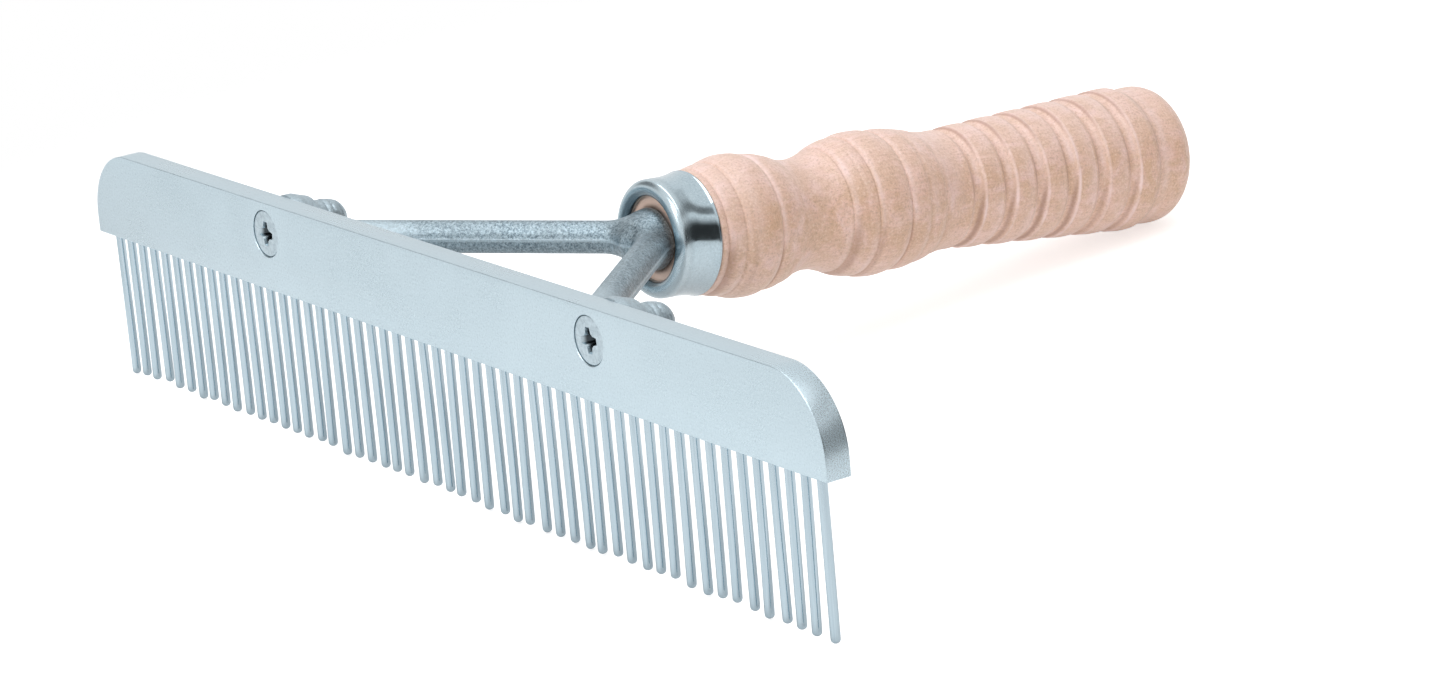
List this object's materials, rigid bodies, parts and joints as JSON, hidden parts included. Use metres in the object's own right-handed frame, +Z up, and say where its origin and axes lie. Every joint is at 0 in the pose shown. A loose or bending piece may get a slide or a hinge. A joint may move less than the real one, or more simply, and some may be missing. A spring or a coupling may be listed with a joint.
{
  "type": "horse grooming comb",
  "caption": "Metal grooming comb: a flat bar set with blunt round pins, screwed to a Y-shaped cast fork in a turned wooden handle with a polished ferrule.",
  "frame": {"origin": "centre of the bounding box on the surface that the comb rests on, with its tooth tips and the butt of the handle touching that surface", "axes": "+X along the comb bar, +Y from the bar towards the butt of the handle, +Z up"},
  "size_m": [0.2282, 0.1626, 0.0433],
  "materials": {
    "bar_metal": "satin, fine brushed along the bar",
    "pin_steel": "drawn wire, polished tips",
    "screw_steel": "satin",
    "cast_metal": "cast and tumbled, fine grain, satin",
    "polished_metal": "polished",
    "wood": "turned hardwood under thin clear lacquer, fine grain along the handle"
  },
  "bodies": {
    "root": {"comb_bar": "bar_metal", "tooth_01": "pin_steel", "tooth_02": "pin_steel", "tooth_03": "pin_steel", "tooth_04": "pin_steel", "tooth_05": "pin_steel", "tooth_06": "pin_steel", "tooth_07": "pin_steel", "tooth_08": "pin_steel", "tooth_09": "pin_steel", "tooth_10": "pin_steel", "tooth_11": "pin_steel", "tooth_12": "pin_steel", "tooth_13": "pin_steel", "tooth_14": "pin_steel", "tooth_15": "pin_steel", "tooth_16": "pin_steel", "tooth_17": "pin_steel", "tooth_18": "pin_steel", "tooth_19": "pin_steel", "tooth_20": "pin_steel", "tooth_21": "pin_steel", "tooth_22": "pin_steel", "tooth_23": "pin_steel", "tooth_24": "pin_steel", "tooth_25": "pin_steel", "tooth_26": "pin_steel", "tooth_27": "pin_steel", "tooth_28": "pin_steel", "tooth_29": "pin_steel", "tooth_30": "pin_steel", "tooth_31": "pin_steel", "tooth_32": "pin_steel", "tooth_33": "pin_steel", "tooth_34": "pin_steel", "tooth_35": "pin_steel", "tooth_36": "pin_steel", "tooth_37": "pin_steel", "tooth_38": "pin_steel", "tooth_39": "pin_steel", "tooth_40": "pin_steel", "tooth_41": "pin_steel", "tooth_42": "pin_steel", "tooth_43": "pin_steel", "tooth_44": "pin_steel", "tooth_45": "pin_steel", "tooth_46": "pin_steel", "tooth_47": "pin_steel", "tooth_48": "pin_steel", "tooth_49": "pin_steel", "tooth_50": "pin_steel", "tooth_51": "pin_steel", "tooth_52": "pin_steel", "tooth_53": "pin_steel", "screw_left": "screw_steel", "screw_right": "screw_steel", "fork": "cast_metal", "ferrule": "polished_metal", "handle": "wood"}
  },
  "joints": []
}
